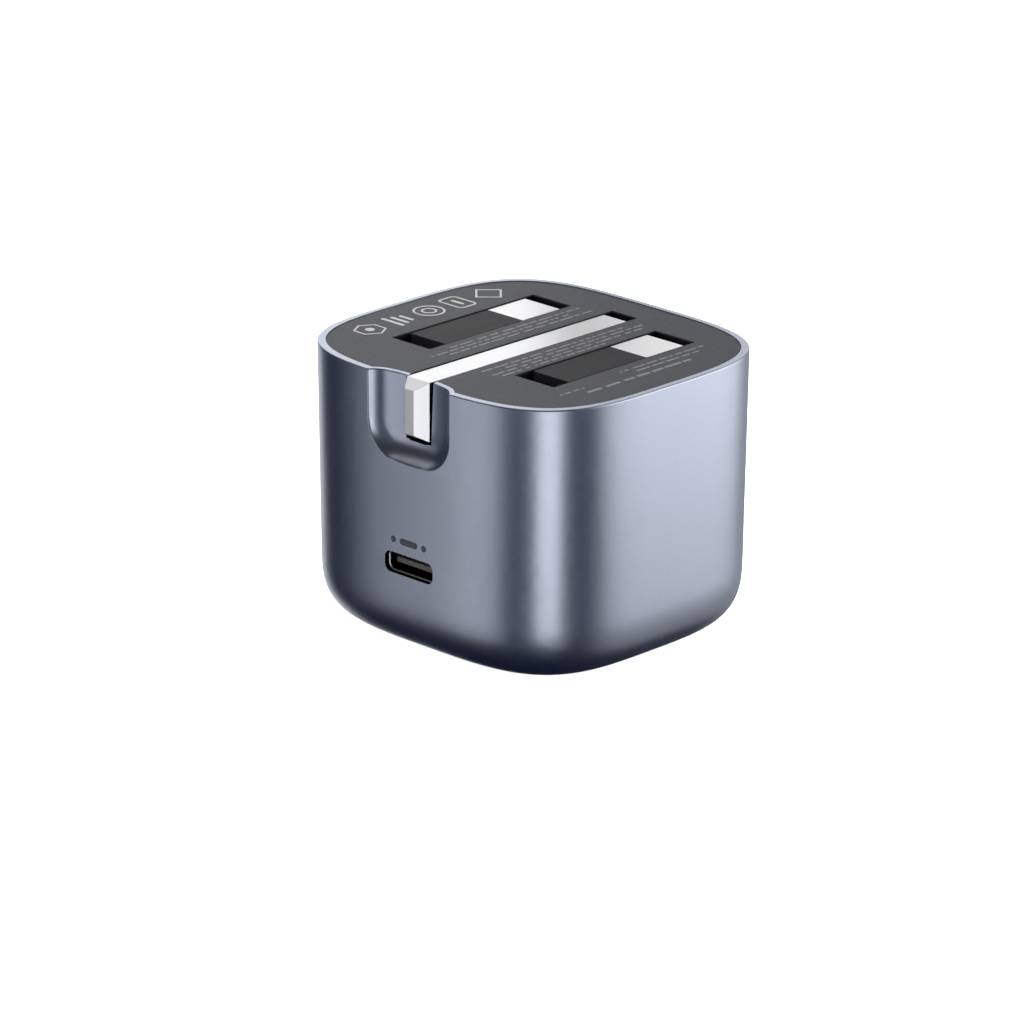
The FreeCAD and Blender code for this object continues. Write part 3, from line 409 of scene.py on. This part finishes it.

# bright steel at the port's mouth, with painted shade making it dull further in
f = Finish("port_steel", Metallic=1.0)
lay = f.noise(1.0, 4.0, 0.6, f.stretched(160, 7000, 7000))
bright = f.ramp(lay, (0.3, (0.90, 0.90, 0.91)), (0.7, (0.97, 0.97, 0.98)))
# painted shade: the steel's colour darkens to dull grey deeper inside the port
f.colour(f.toned(f.span(f.place("Y"), 0.0, 1.0, -21.95 * MM, -21.6 * MM), bright, (0.12, 0.12, 0.12)))
f.rough(f.plus(f.span(lay, 0.16, 0.28), f.span(f.place("Y"), 0.32, 0.0, -21.95 * MM, -21.8 * MM)))
f.bump(lay, 0.000002, 0.5, 0.00002)

# pale studio floor
f = Finish("floor_pale", Emission_Color=(1, 1, 1, 1), Emission_Strength=0.85)
speck = f.noise(900, 3.0, 0.6)
f.colour(f.ramp(speck, (0.3, (0.86, 0.86, 0.865)), (0.7, (0.90, 0.90, 0.905))))
f.rough(f.span(speck, 0.55, 0.65))
floor.data.materials.append(f.material)

# pale screen print on the plug face, fainter in the fine rows, and darker print on the shell


def screen_print(name, low, high):
    made = Finish(name)
    speck = made.noise(3000, 3.0, 0.6)
    made.colour(made.ramp(speck, (0.3, (low, low, low * 1.02)), (0.7, (high, high, high * 1.02))))
    made.rough(made.span(speck, 0.45, 0.6))
    made.bump(speck, 0.000004, 0.4)
    return made


ink = screen_print("print_pale", 0.27, 0.35)
faint_ink = screen_print("print_faint", 0.09, 0.125)
dark_ink = Finish("print_dark", Specular_IOR_Level=0.2)
speck = dark_ink.noise(3000, 3.0, 0.6)
dark_ink.colour(dark_ink.ramp(speck, (0.3, (0.016, 0.017, 0.022)), (0.7, (0.03, 0.032, 0.04))))
dark_ink.rough(dark_ink.span(speck, 0.4, 0.55))
dark_ink.bump(speck, 0.000004, 0.4)

# --------------------------------------------------- printed marks on the face
FOOT, HEAD = FACE - 0.01 * MM, FACE + 0.018 * MM


def solid(bm, outer, inner=None):
    """A thin closed plate on the plug face, in millimetres, with an optional hole of as many points."""
    low = [bm.verts.new((x * MM, y * MM, FOOT)) for x, y in outer]
    high = [bm.verts.new((x * MM, y * MM, HEAD)) for x, y in outer]
    n = len(outer)
    for k in range(n):
        j = (k + 1) % n
        bm.faces.new((low[k], low[j], high[j], high[k]))
    if inner is None:
        bm.faces.new(high)
        bm.faces.new(low[::-1])
        return
    low_in = [bm.verts.new((x * MM, y * MM, FOOT)) for x, y in inner]
    high_in = [bm.verts.new((x * MM, y * MM, HEAD)) for x, y in inner]
    for k in range(n):
        j = (k + 1) % n
        bm.faces.new((low_in[j], low_in[k], high_in[k], high_in[j]))
        bm.faces.new((high[k], high[j], high_in[j], high_in[k]))
        bm.faces.new((low[j], low[k], low_in[k], low_in[j]))


def pill(x, y, wide, tall, corner, steps=4):
    corner = min(corner, wide / 2 - 1e-4, tall / 2 - 1e-4)
    points = []
    for sx, sy, start in ((1, 1, 0), (-1, 1, 90), (-1, -1, 180), (1, -1, 270)):
        for k in range(steps + 1):
            t = math.radians(start + 90 * k / steps)
            points.append((x + sx * (wide / 2 - corner) + corner * math.cos(t), y + sy * (tall / 2 - corner) + corner * math.sin(t)))
    return points


def polygon(x, y, radius, sides, turn=0.0, squeeze=1.0):
    return [(x + radius * math.cos(math.radians(turn + 360 * k / sides)), y + squeeze * radius * math.sin(math.radians(turn + 360 * k / sides))) for k in range(sides)]


def piece(name, bm, finish, body="charger_body"):
    bmesh.ops.recalc_face_normals(bm, faces=bm.faces)
    mesh = bpy.data.meshes.new(name)
    bm.to_mesh(mesh)
    bm.free()
    mesh.materials.append(finish.material)
    made = bpy.data.objects.new(name, mesh)
    scene.collection.objects.link(made)
    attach(made, body)
    return made


# rows of short strokes beside the slots
pick = random.Random(41)
bm = bmesh.new()
for x, start, stop, tall in [(-6.15, -9.0, 15.2, 0.36), (-5.15, -13.6, 12.0, 0.36), (-4.15, -11.2, 15.4, 0.36),
                             (3.75, -13.4, 13.4, 0.36), (4.75, -10.0, 15.6, 0.36), (5.75, -13.4, 15.0, 0.36), (6.75, -12.6, 6.6, 0.36),
                             (16.35, -1.0, 15.0, 0.36), (17.45, -13.2, -8.6, 0.36), (17.45, 1.0, 13.0, 0.36), (19.05, -9.8, 9.4, 0.56)]:
    y = start
    while y < stop - 0.4:
        long = min(pick.uniform(0.5, 2.6) * (1.25 if tall > 0.5 else 1.0), stop - y)
        solid(bm, pill(x, y + long / 2, tall, long, 0.16, 3))
        y += long + pick.choice((0.28, 0.34, 0.42, 0.8))
piece("stroke_rows", bm, faint_ink)

# a column of plain outlines beside the far slot
bm = bmesh.new()
solid(bm, polygon(-19.0, -11.0, 2.3, 6), polygon(-19.0, -11.0, 2.0, 6))
solid(bm, polygon(-19.0, -11.0, 0.65, 24))
for k in range(3):
    solid(bm, pill(-19.2, -6.6 + 1.25 * k, 4.2 - 0.8 * k, 0.55, 0.22))
solid(bm, polygon(-19.3, 0.2, 2.2, 48), polygon(-19.3, 0.2, 1.9, 48))
solid(bm, polygon(-19.3, 0.2, 1.1, 32), polygon(-19.3, 0.2, 0.8, 32))
solid(bm, pill(-19.3, 5.5, 4.8, 3.3, 0.8), pill(-19.3, 5.5, 4.2, 2.7, 0.5))
solid(bm, pill(-19.3, 5.5, 2.3, 0.55, 0.22))
solid(bm, polygon(-19.1, 11.2, 2.5, 4), polygon(-19.1, 11.2, 2.1, 4))
piece("outline_marks", bm, ink)

# a small plain mark printed over the port
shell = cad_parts["housing_shell"]


def on_shell(x, z, lift):
    hit, point, normal, _ = shell.ray_cast(Vector((x * MM, -0.04, z * MM)), Vector((0, 1, 0)))
    return point + normal * (lift * MM)


bm = bmesh.new()
for x, wide in ((-2.75, 0.9), (0.0, 3.2), (2.75, 0.9)):
    outline = pill(x, 16.3, wide, 0.9, 0.45, 6)
    rows = []
    for shrink in (1.0, 0.6, 0.25):
        rows.append([(x + (px - x) * shrink, 16.3 + (pz - 16.3) * shrink) for px, pz in outline])
    top = [[bm.verts.new(on_shell(px, pz, 0.012)) for px, pz in row] for row in rows]
    low = [[bm.verts.new(on_shell(px, pz, -0.012)) for px, pz in row] for row in rows]
    n = len(outline)
    for k in range(n):
        j = (k + 1) % n
        bm.faces.new((low[0][k], low[0][j], top[0][j], top[0][k]))
        for a, b in ((0, 1), (1, 2)):
            bm.faces.new((top[a][k], top[a][j], top[b][j], top[b][k]))
            bm.faces.new((low[a][j], low[a][k], low[b][k], low[b][j]))
    bm.faces.new(top[2])
    bm.faces.new(low[2][::-1])
piece("port_mark", bm, dark_ink)

# ------------------------------------------------------------------- finish up
low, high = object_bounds()
